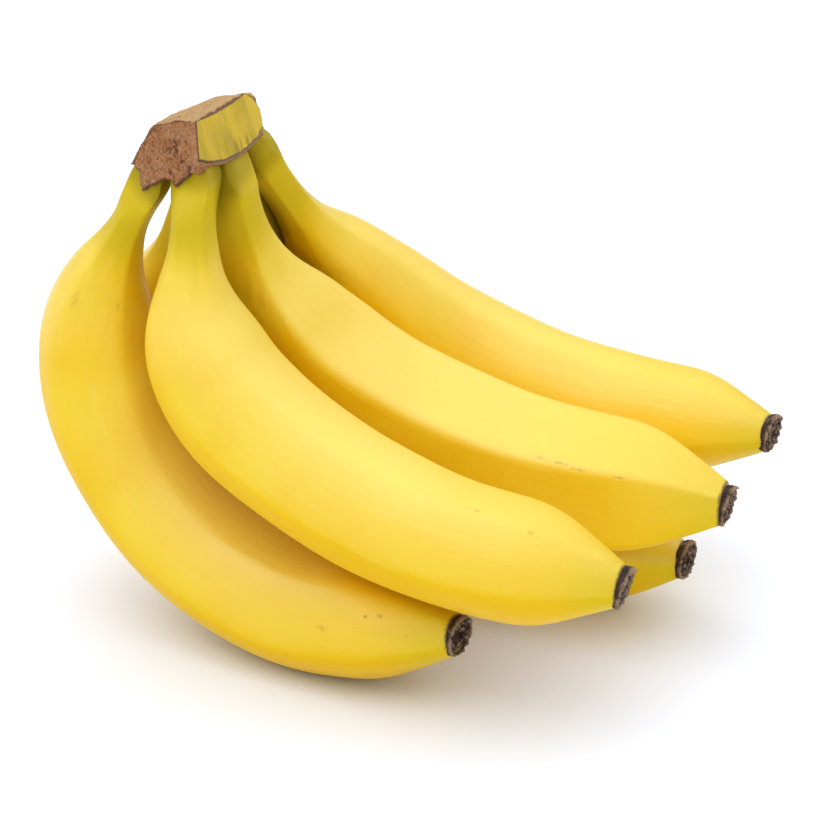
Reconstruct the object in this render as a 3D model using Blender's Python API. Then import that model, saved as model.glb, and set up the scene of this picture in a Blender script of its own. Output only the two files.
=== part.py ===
"""A hand of six bananas that grew from one crown, lying on its three lower fruits.

Blender 4.5, metres, +Z up, the surface it lies on at z = 0, origin below the middle of the bunch.
Each banana is one solid with its own neck. It is a five-ridged section swept along a plane curve:
a straight neck, a shoulder bend, the long even bend of the body and a straight end.
"""

import math
from collections import namedtuple

import bmesh
import bpy
import numpy as np
from mathutils import Matrix, Vector

MM = 0.001
GAP = 0.3                       # kept between pieces that touch

# One line a banana, in millimetres and degrees. root is where its neck leaves the crown, measured
# from a zero point near the bunch's middle. neck_compass and neck_lean say where the neck heads: a
# compass angle from +X towards +Y, and how far it leans out from straight down. bend_compass is the
# side that the fruit curves towards, shoulder_bend and body_bend say by how much. shoulder is how much
# fuller than usual it is where the neck ends.
Banana = namedtuple("Banana", "name root neck_compass neck_lean bend_compass shoulder_bend body_bend "
                              "neck length neck_radius body_radius shoulder")
BANANAS = (
    Banana("left", (-74.5, 7.0, 147.7), 144, 30, -31, 5, 123, 30, 228, 5.0, 19.8, 1.05),
    Banana("front", (-60.5, -3.5, 154.1), 220, 3, -22, 36, 52, 29, 198, 6.1, 19.8, 1.0),
    Banana("middle", (-53.0, 9.0, 151.3), 63, 22, -23, 25, 65, 31, 212, 7.3, 21.5, 1.0),
    Banana("back", (-45.5, 29.0, 150.4), 56, 40, -28, -2, 92, 38, 221, 5.6, 18.8, 0.95),
    Banana("lower_right", (-50.5, 44.5, 144.1), 59, 16, -27, 11, 85, 56, 232, 7.3, 18.6, 1.1),
    Banana("lower_left", (-61.5, 27.0, 143.8), 121, 35, -42, 3, 122, 49, 208, 5.2, 18.5, 1.2),
)
MIDDLE = Vector((3.2, 12.4, 0.0))      # from that zero point to the middle of the bunch

# A banana's girth: how far along the body, and the share of the body radius it has there.
GIRTH = ((0.0, 0.43), (0.14, 0.88), (0.29, 0.99), (0.50, 0.98), (0.72, 0.93), (0.85, 0.88), (0.94, 0.57),
         (1.0, 0.30))
SHOULDER_END = 0.35             # the shoulder bend is over by this share of the body
BEND_END = 0.79                 # past this share of the body the end is straight
RIDGES = 5
RIDGE_RISE = 0.03               # how far a ridge stands out, as a share of the radius
SIDES = 15                      # points round the section, three to a ridge
RINGS = 40                      # steps along a banana

# The dried flower end that sits on each tip.
END_SIDES = 12
END_LENGTH = 2.8
END_TAPER = 0.86                # its far rim, as a share of its foot
END_HOLLOW = 1.0                # how far the middle of its face lies below the rim
END_RIM = 1.6

# The crown: a crescent block cut across at the top, and a short collar down to each neck.
CUT_CORNERS = ((-75, 4, 164), (-59, -5, 169), (-48, 14, 170), (-44, 29, 168), (-56, 24, 168), (-67, 14, 166))
SKIRT_CORNERS = ((-81, 8, 152), (-72, -2, 154), (-60, -9, 156), (-47, 2, 156), (-40, 24, 158),
                 (-42, 46, 154), (-56, 46, 152), (-70, 26, 151))
COLLAR_LENGTH = 12.0
COLLAR_WIDTH = 1.06             # a collar's foot, as a share of the neck's radius
COLLAR_TOP = 0.8                # its top, inside the block, as a share of its foot
COLLAR_SIDES = 16

MATERIALS = {
    "peel": ((0.82, 0.56, 0.05, 1.0), 0.45),
    "crown_skin": ((0.36, 0.29, 0.08, 1.0), 0.6),
    "dried_end": ((0.07, 0.045, 0.03, 1.0), 0.85),
}


def clear_scene():
    """Remove every object of the start-up scene."""
    for obj in list(bpy.data.objects):
        bpy.data.objects.remove(obj)


def collection(name):
    """A new collection, linked to the scene."""
    made = bpy.data.collections.new(name)
    bpy.context.scene.collection.children.link(made)
    return made


def material(name):
    """The named Principled material, made once."""
    if name in bpy.data.materials:
        return bpy.data.materials[name]
    colour, roughness = MATERIALS[name]
    made = bpy.data.materials.new(name)
    made.use_nodes = True
    shader = made.node_tree.nodes["Principled BSDF"]
    shader.inputs["Base Color"].default_value = colour
    shader.inputs["Roughness"].default_value = roughness
    shader.inputs["Metallic"].default_value = 0.0
    return made


def add_object(name, mesh, group, material_name=None, matrix=None):
    """An object of this mesh in a collection, smooth shaded and placed by its matrix."""
    obj = bpy.data.objects.new(name, mesh)
    group.objects.link(obj)
    if matrix is not None:
        obj.matrix_world = matrix
    if material_name:
        mesh.materials.append(material(material_name))
        mesh.shade_smooth()
        mesh.set_sharp_from_angle(angle=math.radians(40))
    return obj


def hide_guide(obj):
    """Mark an object as a guide, which isn't part of the bunch."""
    obj.hide_render = True
    obj.display_type = "WIRE"


# ---- the shape of one banana ----

def smoothstep(values):
    """0 to 1 with level ends."""
    values = np.clip(values, 0.0, 1.0)
    return values * values * (3.0 - 2.0 * values)


def smooth_through(where, known_at, known):
    """A smooth curve through known values that doesn't swing past them."""
    steps = np.diff(known_at)
    slopes = np.diff(known) / steps
    tangents = np.zeros(len(known))
    for k in range(1, len(known) - 1):
        before, after = slopes[k - 1], slopes[k]
        if before * after > 0:
            near, far = steps[k - 1] + 2 * steps[k], 2 * steps[k - 1] + steps[k]
            tangents[k] = (near + far) / (near / after + far / before)
    tangents[-1] = slopes[-1]
    k = np.clip(np.searchsorted(known_at, where, side="right") - 1, 0, len(steps) - 1)
    t = (where - known_at[k]) / steps[k]
    rise = known[k + 1] - known[k]
    start, end = tangents[k] * steps[k], tangents[k + 1] * steps[k]
    return known[k] + t * (start + t * (3 * rise - 2 * start - end + t * (start + end - 2 * rise)))


def distances(fruit):
    """Distances from the root of the rings along a banana."""
    return np.linspace(0.0, fruit.length, RINGS + 1)


def radii(fruit):
    """The radius at each ring."""
    body = fruit.length - fruit.neck
    known_at = np.array([0.0, 0.6 * fruit.neck] + [fruit.neck + share * body for share, _ in GIRTH])
    known = np.array([fruit.neck_radius] * 2 + [fruit.body_radius * size for _, size in GIRTH])
    known[2] *= fruit.shoulder
    known[3] *= (1.0 + fruit.shoulder) / 2.0
    return smooth_through(distances(fruit), known_at, known)


def headings(fruit):
    """How far the middle line has turned at each ring, in radians."""
    body = fruit.length - fruit.neck
    along = (distances(fruit) - fruit.neck) / body
    turn = (fruit.shoulder_bend * smoothstep(along / SHOULDER_END)
            + fruit.body_bend * np.clip(along / BEND_END, 0.0, 1.0))
    return np.radians(turn)


def middle_line(fruit):
    """The banana's middle line, as x and y in its own plane."""
    heading = headings(fruit)
    halfway = (heading[1:] + heading[:-1]) / 2
    step = fruit.length / RINGS
    x = np.concatenate([[0.0], np.cumsum(step * np.cos(halfway))])
    y = np.concatenate([[0.0], np.cumsum(step * np.sin(halfway))])
    return x, y


def plane(fruit):
    """Where the banana's own plane lies: +X down the neck, +Y towards the side it curves to."""
    compass, lean = math.radians(fruit.neck_compass), math.radians(fruit.neck_lean)
    side = math.radians(fruit.bend_compass)
    down = Vector((math.sin(lean) * math.cos(compass), math.sin(lean) * math.sin(compass), -math.cos(lean)))
    inward = Vector((math.cos(side), math.sin(side), 0.0))
    inward = (inward - down * inward.dot(down)).normalized()
    across = down.cross(inward)
    turned = Matrix((down, inward, across)).transposed().to_4x4()
    return Matrix.Translation((Vector(fruit.root) - MIDDLE) * MM) @ turned


def ridged_section(group):
    """The closed outline that is swept: a unit circle with five low ridges."""
    curve = bpy.data.curves.new("section", "CURVE")
    curve.dimensions = "2D"
    curve.fill_mode = "NONE"
    spline = curve.splines.new("POLY")
    spline.points.add(SIDES - 1)
    for k, point in enumerate(spline.points):
        angle = 2 * math.pi * k / SIDES
        radius = 1 + RIDGE_RISE * math.cos(RIDGES * angle)
        point.co = (radius * math.cos(angle) * MM, radius * math.sin(angle) * MM, 0.0, 1.0)
    spline.use_cyclic_u = True
    section = add_object("section", curve, group)
    hide_guide(section)
    return section


def build_banana(fruit, section, group):
    """One banana with its neck: the section swept along the middle line and made a mesh."""
    curve = bpy.data.curves.new(fruit.name, "CURVE")
    curve.dimensions = "3D"
    curve.twist_mode = "Z_UP"
    curve.bevel_mode = "OBJECT"
    curve.bevel_object = section
    curve.use_fill_caps = True
    spline = curve.splines.new("POLY")
    spline.points.add(RINGS)
    for point, x, y, radius in zip(spline.points, *middle_line(fruit), radii(fruit)):
        point.co = (x * MM, y * MM, 0.0, 1.0)
        point.radius = radius
    sweep = add_object("sweep", curve, group)
    evaluated = sweep.evaluated_get(bpy.context.evaluated_depsgraph_get())
    mesh = bpy.data.meshes.new_from_object(evaluated)
    bpy.data.objects.remove(sweep)
    bm = bmesh.new()
    bm.from_mesh(mesh)
    bmesh.ops.remove_doubles(bm, verts=bm.verts, dist=0.00001)
    bmesh.ops.recalc_face_normals(bm, faces=bm.faces)
    bm.to_mesh(mesh)
    bm.free()
    return add_object("banana_" + fruit.name, mesh, group, "peel", plane(fruit))


def build_flower_end(fruit, group):
    """The dried flower end: a short drum on the tip, narrower and hollowed at its far face."""
    x, y = middle_line(fruit)
    heading = headings(fruit)[-1]
    along = Vector((math.cos(heading), math.sin(heading), 0.0))
    foot = Vector((x[-1], y[-1], 0.0)) + along * (GAP + END_LENGTH / 2)
    place = plane(fruit) @ Matrix.Translation(foot * MM) @ along.to_track_quat("Z", "Y").to_matrix().to_4x4()
    radius = radii(fruit)[-1] * MM
    mesh = bpy.data.meshes.new("flower_end_" + fruit.name)
    bm = bmesh.new()
    bmesh.ops.create_cone(bm, cap_ends=True, segments=END_SIDES, radius1=radius, radius2=radius * END_TAPER,
                          depth=END_LENGTH * MM)
    face = max(bm.faces, key=lambda f: f.calc_center_median().z)
    bmesh.ops.inset_region(bm, faces=[face], thickness=END_RIM * MM)
    bmesh.ops.translate(bm, verts=face.verts, vec=(0.0, 0.0, -END_HOLLOW * MM))
    bm.to_mesh(mesh)
    bm.free()
    return add_object(mesh.name, mesh, group, "dried_end", place)


# ---- the crown ----

def build_collar(fruit, group):
    """A guide for the crown: the short stub that a neck grows from."""
    mesh = bpy.data.meshes.new("collar_" + fruit.name)
    foot = fruit.neck_radius * COLLAR_WIDTH * MM
    bm = bmesh.new()
    bmesh.ops.create_cone(bm, cap_ends=True, segments=COLLAR_SIDES, radius1=foot * COLLAR_TOP, radius2=foot,
                          depth=COLLAR_LENGTH * MM)
    bm.to_mesh(mesh)
    bm.free()
    up_the_neck = Matrix.Translation((-(GAP + COLLAR_LENGTH / 2) * MM, 0.0, 0.0))
    along_neck = Matrix.Rotation(math.radians(90), 4, "Y")
    collar = add_object(mesh.name, mesh, group, matrix=plane(fruit) @ up_the_neck @ along_neck)
    hide_guide(collar)
    return collar


def build_crown(group, guides):
    """The crown: the hull of its cut face and its skirt, joined to the six collars."""
    mesh = bpy.data.meshes.new("crown")
    bm = bmesh.new()
    for corner in CUT_CORNERS + SKIRT_CORNERS:
        bm.verts.new((Vector(corner) - MIDDLE) * MM)
    bmesh.ops.convex_hull(bm, input=bm.verts)
    bmesh.ops.recalc_face_normals(bm, faces=bm.faces)
    bm.to_mesh(mesh)
    bm.free()
    crown = add_object("crown", mesh, group, "crown_skin")
    for fruit in BANANAS:
        union = crown.modifiers.new("join_" + fruit.name, "BOOLEAN")
        union.operation = "UNION"
        union.object = build_collar(fruit, guides)
    return crown


def main():
    clear_scene()
    parts = collection("bunch_of_bananas")
    guides = collection("guides")
    section = ridged_section(guides)
    for fruit in BANANAS:
        build_banana(fruit, section, parts)
        build_flower_end(fruit, parts)
    build_crown(parts, guides)


main()
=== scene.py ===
"""The finished look of a bunch of six bananas, laid out as a small Blender add-on.

Blender 4.5, metres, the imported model's own frame. Lengths named in the tables are millimetres.
"""

import math
from collections import namedtuple
from contextlib import contextmanager

import bmesh
import bpy
import numpy as np
from bpy.props import FloatProperty, FloatVectorProperty, IntProperty, PointerProperty
from mathutils import Matrix, Vector, noise


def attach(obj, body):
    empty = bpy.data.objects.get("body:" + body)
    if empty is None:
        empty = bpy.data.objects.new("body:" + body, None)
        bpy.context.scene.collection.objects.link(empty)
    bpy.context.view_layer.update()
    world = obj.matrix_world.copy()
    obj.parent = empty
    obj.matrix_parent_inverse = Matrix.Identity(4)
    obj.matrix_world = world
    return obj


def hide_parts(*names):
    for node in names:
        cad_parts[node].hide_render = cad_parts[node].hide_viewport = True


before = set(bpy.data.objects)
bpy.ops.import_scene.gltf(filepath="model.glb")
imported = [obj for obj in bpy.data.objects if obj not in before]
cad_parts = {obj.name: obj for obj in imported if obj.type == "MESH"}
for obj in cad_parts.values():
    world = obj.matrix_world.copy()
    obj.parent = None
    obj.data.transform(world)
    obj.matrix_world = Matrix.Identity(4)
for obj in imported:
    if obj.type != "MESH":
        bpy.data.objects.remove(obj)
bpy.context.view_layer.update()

bl_info = {
    "name": "Bunch of bananas",
    "version": (1, 0, 0),
    "blender": (4, 5, 0),
    "location": "View3D > Sidebar > Bananas",
    "description": "Ripe bananas with their crown and dried flower ends, and a pale studio",
    "category": "Object",
}

MM = 0.001

# One line a banana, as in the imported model. root is where its neck leaves the crown. neck_compass and
# neck_lean say where the neck heads, bend_compass the side that the fruit curves towards, shoulder_bend
# and body_bend by how much. neck is the neck's length, and length the whole banana's along its middle.
# shoulder is how much fuller than usual it is where the neck ends. ridge_turn is the angle of a ridge
# from the inner side of the curve, ridge_twist how far it has turned by the tip.
Banana = namedtuple("Banana", "name root neck_compass neck_lean bend_compass shoulder_bend body_bend "
                              "neck length neck_radius body_radius shoulder ridge_turn ridge_twist "
                              "ridge_depth ridge_sharpness")
BANANAS = (
    Banana("left", (-74.5, 7.0, 147.7), 144, 30, -31, 5, 123, 30, 228, 5.0, 19.8, 1.05, 28, 2, 0.26, 18),
    Banana("front", (-60.5, -3.5, 154.1), 220, 3, -22, 36, 52, 29, 198, 6.1, 19.8, 1.0, 110, -12, 0.3, 22),
    Banana("middle", (-53.0, 9.0, 151.3), 63, 22, -23, 25, 65, 31, 212, 7.3, 21.5, 1.0, 42, -12, 0.75, 34),
    Banana("back", (-45.5, 29.0, 150.4), 56, 40, -28, -2, 92, 38, 221, 5.6, 18.8, 0.95, 56, 2, 0.3, 24),
    Banana("lower_right", (-50.5, 44.5, 144.1), 59, 16, -27, 11, 85, 56, 232, 7.3, 18.6, 1.1, 50, 6, 0.3, 20),
    Banana("lower_left", (-61.5, 27.0, 143.8), 121, 35, -42, 3, 122, 49, 208, 5.2, 18.5, 1.2, 50, 4, 0.3, 20),
)
MIDDLE = Vector((3.2, 12.4, 0.0))  # the middle of the bunch, which the frame has at its origin

# A banana's girth: how far along the body, and the share of the body radius it has there.
GIRTH = ((0.0, 0.43), (0.14, 0.88), (0.29, 0.99), (0.50, 0.98), (0.72, 0.93), (0.85, 0.88), (0.94, 0.57),
         (1.0, 0.30))
GIRTH_BLUR = (-6.0, -3.0, 0.0, 3.0, 6.0)
BLUR_FADE = 12.0  # the blur eases off this close to the tip
SHOULDER_END = 0.35  # share of the body by which the shoulder's bend is done
BEND_END = 0.79  # share of the body by which the long bend is done
RIDGES = 5
RIDGE_LEVEL = 1.06  # keeps the girth of a ridged skin near that of a round one
NECK_RIDGE_DEPTH = 0.60
FLARE_REACH = 8.0  # how far down the neck its flare under the crown reaches
TUCK_TAPER = 0.35  # how much thinner its hidden end inside the crown is
NECK_COVER = 1.3  # a neck's top stays this far behind the crown's flat sides
NECK_COVER_END = (3.0, 16.0)  # where on the neck that eases off
CROWDED = (0.5, 18.0)  # gaps to a neighbour that count as touching and as free

# Small rubs and specks that catch the eye: the banana, how far along it, to which side of its middle line
# (inward, across), how long and wide it is and how dark.
Mark = namedtuple("Mark", "banana along inward across length width strength")
MARKS = (
    Mark("left", 40.9, -0.3, 13.4, 6.0, 2.6, 0.22),
    Mark("left", 39.2, 10.5, 7.0, 2.4, 1.6, 0.22),
    Mark("left", 205.6, 9.1, 12.3, 1.0, 0.8, 0.75),
    Mark("left", 209.6, 9.0, 10.5, 2.0, 1.2, 0.50),
    Mark("left", 192.7, 5.7, 16.5, 3.0, 1.6, 0.30),
    Mark("front", 156.1, 16.8, 8.7, 2.4, 1.2, 0.40),
    Mark("front", 173.3, 14.4, 9.7, 2.0, 1.2, 0.30),
    Mark("middle", 157.8, 18.9, 10.9, 5.0, 0.7, 0.45),
    Mark("middle", 165.2, 18.8, 11.0, 6.0, 0.8, 0.65),
    Mark("middle", 172.7, 18.3, 11.7, 5.0, 0.7, 0.55),
    Mark("middle", 185.0, 17.1, 11.3, 4.0, 0.7, 0.45),
)

# The crown's two flat sides: the middle of each, where it faces and how far it tips back, and its
# outline seen square on (right, up).
Face = namedtuple("Face", "middle compass tilt outline", defaults=((),))
TORN_FACE = Face((-66, 0, 160), -130, 11, (
    (-7.7, 5.1), (-0.4, 7.8), (7.6, 9.2), (9.2, 4.1), (10.5, -1.8), (9.1, -3.6), (6.8, -3.9), (6.8, -6.8),
    (4.6, -8.2), (2.1, -10.8), (0.3, -9.3), (-2.5, -9.3), (-5.8, -11.5), (-8.9, -13.0), (-10.8, -14.7),
    (-11.9, -12.1), (-12.6, -9.3), (-15.3, -7.9), (-13.2, -1.7)))
SKIN_FACE = Face((-50, 8, 162), -24, 19, (
    (-15.8, 8.0), (-5.2, 7.4), (4.9, 7.6), (13.6, 8.4), (16.9, 6.0), (18.8, 2.3), (17.9, -1.8),
    (16.3, -3.2), (12.7, -4.9), (5.8, -5.9), (0.6, -6.2), (-8.1, -5.8), (-16.7, -3.8), (-20.7, -2.0)))
# Pits in the torn side: right, up and width.
TORN_PITS = ((0.5, 0.5, 1.2), (-1.8, -0.8, 0.9), (1.0, -1.9, 0.9), (-0.4, 2.0, 0.6))
# The two cuts that end the crown on its far side, which go right through and need no outline.
CROWN_ENDS = (Face((-43.0, 24.4, 162), 32, 0), Face((-43.8, 21, 168.0), 15, 45))

# Thick stubs that carry the crown out to the neck at its far end: from, to and the radius at each.
CROWN_STUBS = {
    "stub_collar": ((-50.3, 44.8, 143.5), (-52.0, 42.0, 154.5), 9.7, 8.0),
    "stub_arm": ((-51.4, 43.2, 147.0), (-57.0, 25.0, 153.0), 8.4, 9.0),
}
SLICE_BEHIND = 0.4  # the block is cut this far behind the plates that front its flat sides
UNDERCUTS = ((TORN_FACE, 8.0), (SKIN_FACE, 5.0))  # how far below a side's middle the block is cut away
UNDER_LIP_SHIFT = (1.2 * MM, 0.1 * MM)  # how far the lip's dark underside is lowered and set back
BACK_DEPTH = -5.0  # the rounded back starts this far behind both flat sides
BACK_TOP = 163.0  # and ends at this height, below the cut face
BACK_ROUNDING = 250  # smoothing steps that round it
PIT_DEPTH, CRACK_DEPTH, GRAIN_HEIGHT = 0.8 * MM, 0.6 * MM, 0.3 * MM  # on the torn side and the cut face
WRINKLE_HEIGHT, SWELL_HEIGHT = 0.16 * MM, 0.25 * MM  # on the whole skin

# Shades within the finishes, under the main colours that are settings.
PALE_LINE = (0.95, 0.70, 0.10)
# painted shade: a deeper gold laid over the tip half of each banana, for its dimmer light
TIP_GOLD_PAINTED_SHADE = (0.88, 0.575, 0.010)
SCORCH = (0.13, 0.07, 0.03)
SKIN_DARK, SKIN_LIGHT, SKIN_CREASE = (0.47, 0.33, 0.010), (0.72, 0.52, 0.04), (0.27, 0.17, 0.02)
# the crown's lowest part: the necks' colour carried onto its collars, darkened as painted shade under the lip
COLLAR_TONE_AND_SHADE = (0.52, 0.395, 0.006)
LIP_DARK, LIP_LIGHT = (0.15, 0.065, 0.03), (0.36, 0.17, 0.06)
# FIBRE_HOLLOW_SHADE is painted shade, laid down in the torn fibres' hollows and pits
FIBRE_HOLLOW_SHADE, FIBRE_DARK = (0.09, 0.032, 0.015), (0.12, 0.042, 0.018)
FIBRE_PALE, FIBRE_RUST = (0.42, 0.22, 0.10), (0.52, 0.27, 0.11)
FLESH_WARM, FLESH_STRAND = (0.46, 0.28, 0.12), (0.24, 0.12, 0.05)
FLOWER_BROWN = (0.12, 0.06, 0.035)


# ---- settings that a user would change ----

def tint(name, description, default):
    """A colour setting."""
    return FloatVectorProperty(name=name, description=description, subtype="COLOR", default=default)


def span(name, description, default):
    """A length setting, in metres."""
    return FloatProperty(name=name, description=description, unit="LENGTH", precision=5, default=default)


class BananaSettings(bpy.types.PropertyGroup):
    """The skins of the six bananas."""
    sides: IntProperty(name="Sides", description="Points round a banana", default=80, min=20)
    rings: IntProperty(name="Rings", description="Steps along a banana", default=240, min=40)
    tuck: span("Neck tuck", "How far a neck runs up inside the crown", 0.007)
    neck_flare: FloatProperty(name="Neck flare", description="How much a neck widens as it joins the crown",
                              default=0.24, subtype="FACTOR")
    lumps: span("Lumps", "Height of the slow swells on the skin", 0.00025)
    ripe: tint("Ripe", "Main colour of the peel", (0.94, 0.655, 0.020))
    ripe_deep: tint("Deep", "Its warmer patches", (0.91, 0.575, 0.007))
    neck_green: tint("Neck", "Colour of the necks", (0.65, 0.475, 0.014))
    tip_green: tint("Tip", "Tinge just before the flower end", (0.72, 0.53, 0.008))
    # painted highlight: a paler colour laid on the peel's upward-facing sides
    ripe_painted_highlight: tint("Upper side", "Its pale upper side", (0.94, 0.68, 0.10))
    # painted shade: a deeper gold laid on the peel's downward-facing sides
    ripe_painted_underside_shade: tint("Underside", "Its golden underside", (0.88, 0.52, 0.003))
    # painted shade: a darker gold laid where bananas crowd together
    ripe_painted_crowd_shade: tint("Shaded", "Where bananas crowd together", (0.86, 0.50, 0.001))
    # painted shade: dark olive laid in the crevices between crowded necks and at the necks' tops under the
    # crown
    neck_painted_shade: tint("Crevices", "Between crowded necks", (0.19, 0.135, 0.002))
    spot_brown: tint("Spots", "Colour of specks and rubs", (0.30, 0.13, 0.03))


class CrownSettings(bpy.types.PropertyGroup):
    """The crown that the necks grow from."""
    voxel: span("Grain", "Size of the remesh's cells", 0.0003)
    lip: span("Lip", "Thickness of the plate that overhangs the necks", 0.0014)
    fibre_height: span("Fibres", "Height of the torn fibres", 0.0005)
    skin: tint("Skin", "Colour of the whole skin", (0.70, 0.475, 0.016))
    torn: tint("Torn", "Colour of the torn side", (0.36, 0.14, 0.045))
    cut: tint("Cut", "Colour of the cut face", (0.49, 0.31, 0.125))
    edge: tint("Edge", "Colour of dried edges", (0.13, 0.055, 0.028))


class FlowerEndSettings(bpy.types.PropertyGroup):
    """The dried flower ends on the tips."""
    sides: IntProperty(name="Sides", description="Points round a flower end", default=96, min=24)
    knobs: span("Knobs", "Height of the knobs on the rim", 0.0005)
    # dark is painted shade down in the folds over the dried brown; pale is the rubbed rim, lighter on the
    # raised parts partly as painted highlight
    dark: tint("Dark", "Colour down in the folds", (0.030, 0.014, 0.008))
    pale: tint("Pale", "Colour of the rubbed rim", (0.30, 0.19, 0.11))


class StudioSettings(bpy.types.PropertyGroup):
    """The pale studio and its camera."""
    elevation: FloatProperty(name="Elevation", description="How far the camera looks down",
                             default=math.radians(24), subtype="ANGLE")
    distance: span("Distance", "From the camera to the bunch", 0.67)
    lens: FloatProperty(name="Lens", description="Focal length in millimetres", default=100.0)
    aim: FloatVectorProperty(name="Aim", description="Point in the middle of the view", subtype="XYZ",
                             unit="LENGTH", default=(-0.0032, -0.0124, 0.080))
    floor_colour: tint("Floor", "Colour of the floor", (0.885, 0.93, 0.985))
    floor_size: span("Floor size", "Width of the floor", 16.0)
    sky_strength: FloatProperty(name="Sky", description="Strength of the light from straight overhead",
                                default=1.88)
    sky_colour: tint("Sky colour", "Tint of that light", (0.93, 0.94, 1.0))
    lamp_strength: FloatProperty(name="Lamp", description="Strength of the soft lamp", default=0.55)
    lamp_spread: FloatProperty(name="Lamp spread", description="How wide the soft lamp looks",
                               default=math.radians(50), subtype="ANGLE")


# ---- modelling helpers ----

def clear_selection():
    """Leave edit mode and deselect everything."""
    if bpy.context.mode != "OBJECT":
        bpy.ops.object.mode_set(mode="OBJECT")
    bpy.ops.object.select_all(action="DESELECT")


def make_active(obj):
    """Select this object alone and make it active."""
    clear_selection()
    obj.select_set(True)
    bpy.context.view_layer.objects.active = obj


@contextmanager
def edit_mode(obj):
    """Work on the object in edit mode, all of it selected at first."""
    make_active(obj)
    bpy.ops.object.mode_set(mode="EDIT")
    bpy.ops.mesh.select_all(action="SELECT")
    yield
    bpy.ops.object.mode_set(mode="OBJECT")


def named_primitive(name):
    """Name the primitive that was just added."""
    made = bpy.context.active_object
    made.name = name
    made.data.name = name
    return made


def select_where(obj, kind, wanted):
    """In edit mode, select exactly the edges or faces that the test wants."""
    bpy.ops.mesh.select_mode(type=kind)
    bpy.ops.mesh.select_all(action="DESELECT")
    bm = bmesh.from_edit_mesh(obj.data)
    for element in {"EDGE": bm.edges, "FACE": bm.faces}[kind]:
        if wanted(element):
            element.select_set(True)
    bm.select_flush_mode()
    bmesh.update_edit_mesh(obj.data)


def apply_modifier(obj, kind, **settings):
    """Add a modifier to the object and apply it."""
    make_active(obj)
    modifier = obj.modifiers.new(kind.title(), kind)
    for key, value in settings.items():
        setattr(modifier, key, value)
    bpy.ops.object.modifier_apply(modifier=modifier.name)


def read_points(mesh):
    """The mesh's points as an array."""
    points = np.zeros(len(mesh.vertices) * 3, np.float32)
    mesh.vertices.foreach_get("co", points)
    return points.reshape(-1, 3).astype(float)


def read_normals(mesh):
    """The mesh's point normals as an array."""
    normals = np.zeros(len(mesh.vertices) * 3, np.float32)
    mesh.vertex_normals.foreach_get("vector", normals)
    return normals.reshape(-1, 3).astype(float)


def write_points(mesh, points):
    """Move the mesh's points to these places."""
    mesh.vertices.foreach_set("co", np.ravel(points).astype(np.float32))
    mesh.update()


def keep_attributes(mesh, **attributes):
    """Store numbers or vectors at every point for the material."""
    for name, values in attributes.items():
        values = np.asarray(values, np.float32)
        kind, field = ("FLOAT_VECTOR", "vector") if values.ndim == 2 else ("FLOAT", "value")
        mesh.attributes.new(name, kind, "POINT").data.foreach_set(field, values.ravel())


def smoothstep(values, start=0.0, end=1.0):
    """0 before start, 1 past end and a smooth rise between them."""
    values = np.clip((values - start) / (end - start), 0.0, 1.0)
    return values * values * (3.0 - 2.0 * values)


def bell(values, width):
    """1 at zero, falling smoothly to nothing over a few widths."""
    return np.exp(-(values / width) ** 2)


def noise_at(points, scale, seed):
    """Smooth noise from -1 to 1 at each point, which repeats exactly for the same seed."""
    shift = Vector((seed * 17.31, seed * 5.77, seed * 11.13))
    return np.array([noise.noise(Vector(point) * scale + shift) for point in points])


def finish_piece(piece, slot_name, *nodes):
    """Shade the piece, hang it on the bunch and hide the imported nodes that it stands for."""
    piece.data.shade_smooth()
    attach(piece, "root")
    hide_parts(*nodes)
    return piece


# ---- the shape of one banana ----

def face_axes(face):
    """Where a flat side faces, and its rightward and upward directions."""
    compass, tilt = math.radians(face.compass), math.radians(face.tilt)
    level = math.cos(tilt)
    facing = Vector((level * math.cos(compass), level * math.sin(compass), math.sin(tilt)))
    right = Vector((0.0, 0.0, 1.0)).cross(facing).normalized()
    return facing, right, facing.cross(right)


def face_middle(face):
    """The middle of a flat side, in metres."""
    return (Vector(face.middle) - MIDDLE) * MM


def smooth_through(where, known_at, known):
    """A smooth curve through known values that doesn't swing past them."""
    steps = np.diff(known_at)
    slopes = np.diff(known) / steps
    tangents = np.zeros(len(known))
    for k in range(1, len(known) - 1):
        before, after = slopes[k - 1], slopes[k]
        if before * after > 0:
            near, far = steps[k - 1] + 2 * steps[k], 2 * steps[k - 1] + steps[k]
            tangents[k] = (near + far) / (near / after + far / before)
    tangents[-1] = slopes[-1]
    k = np.clip(np.searchsorted(known_at, where, side="right") - 1, 0, len(steps) - 1)
    t = (where - known_at[k]) / steps[k]
    rise = known[k + 1] - known[k]
    start, end = tangents[k] * steps[k], tangents[k + 1] * steps[k]
    return known[k] + t * (start + t * (3 * rise - 2 * start - end + t * (start + end - 2 * rise)))


def radius_at(fruit, distance):
    """The banana's radius at each distance from its root."""
    body = fruit.length - fruit.neck
    known_at = np.array([0.0, 0.6 * fruit.neck] + [fruit.neck + share * body for share, _ in GIRTH])
    known = np.array([fruit.neck_radius] * 2 + [fruit.body_radius * size for _, size in GIRTH])
    known[2] *= fruit.shoulder
    known[3] *= (1.0 + fruit.shoulder) / 2.0
    total = np.zeros_like(distance)
    for nudge in GIRTH_BLUR:
        nudged = distance + nudge * smoothstep(fruit.length - distance, 0.0, BLUR_FADE)
        total = total + smooth_through(np.clip(nudged, 0.0, fruit.length), known_at, known)
    return total / len(GIRTH_BLUR)


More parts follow.
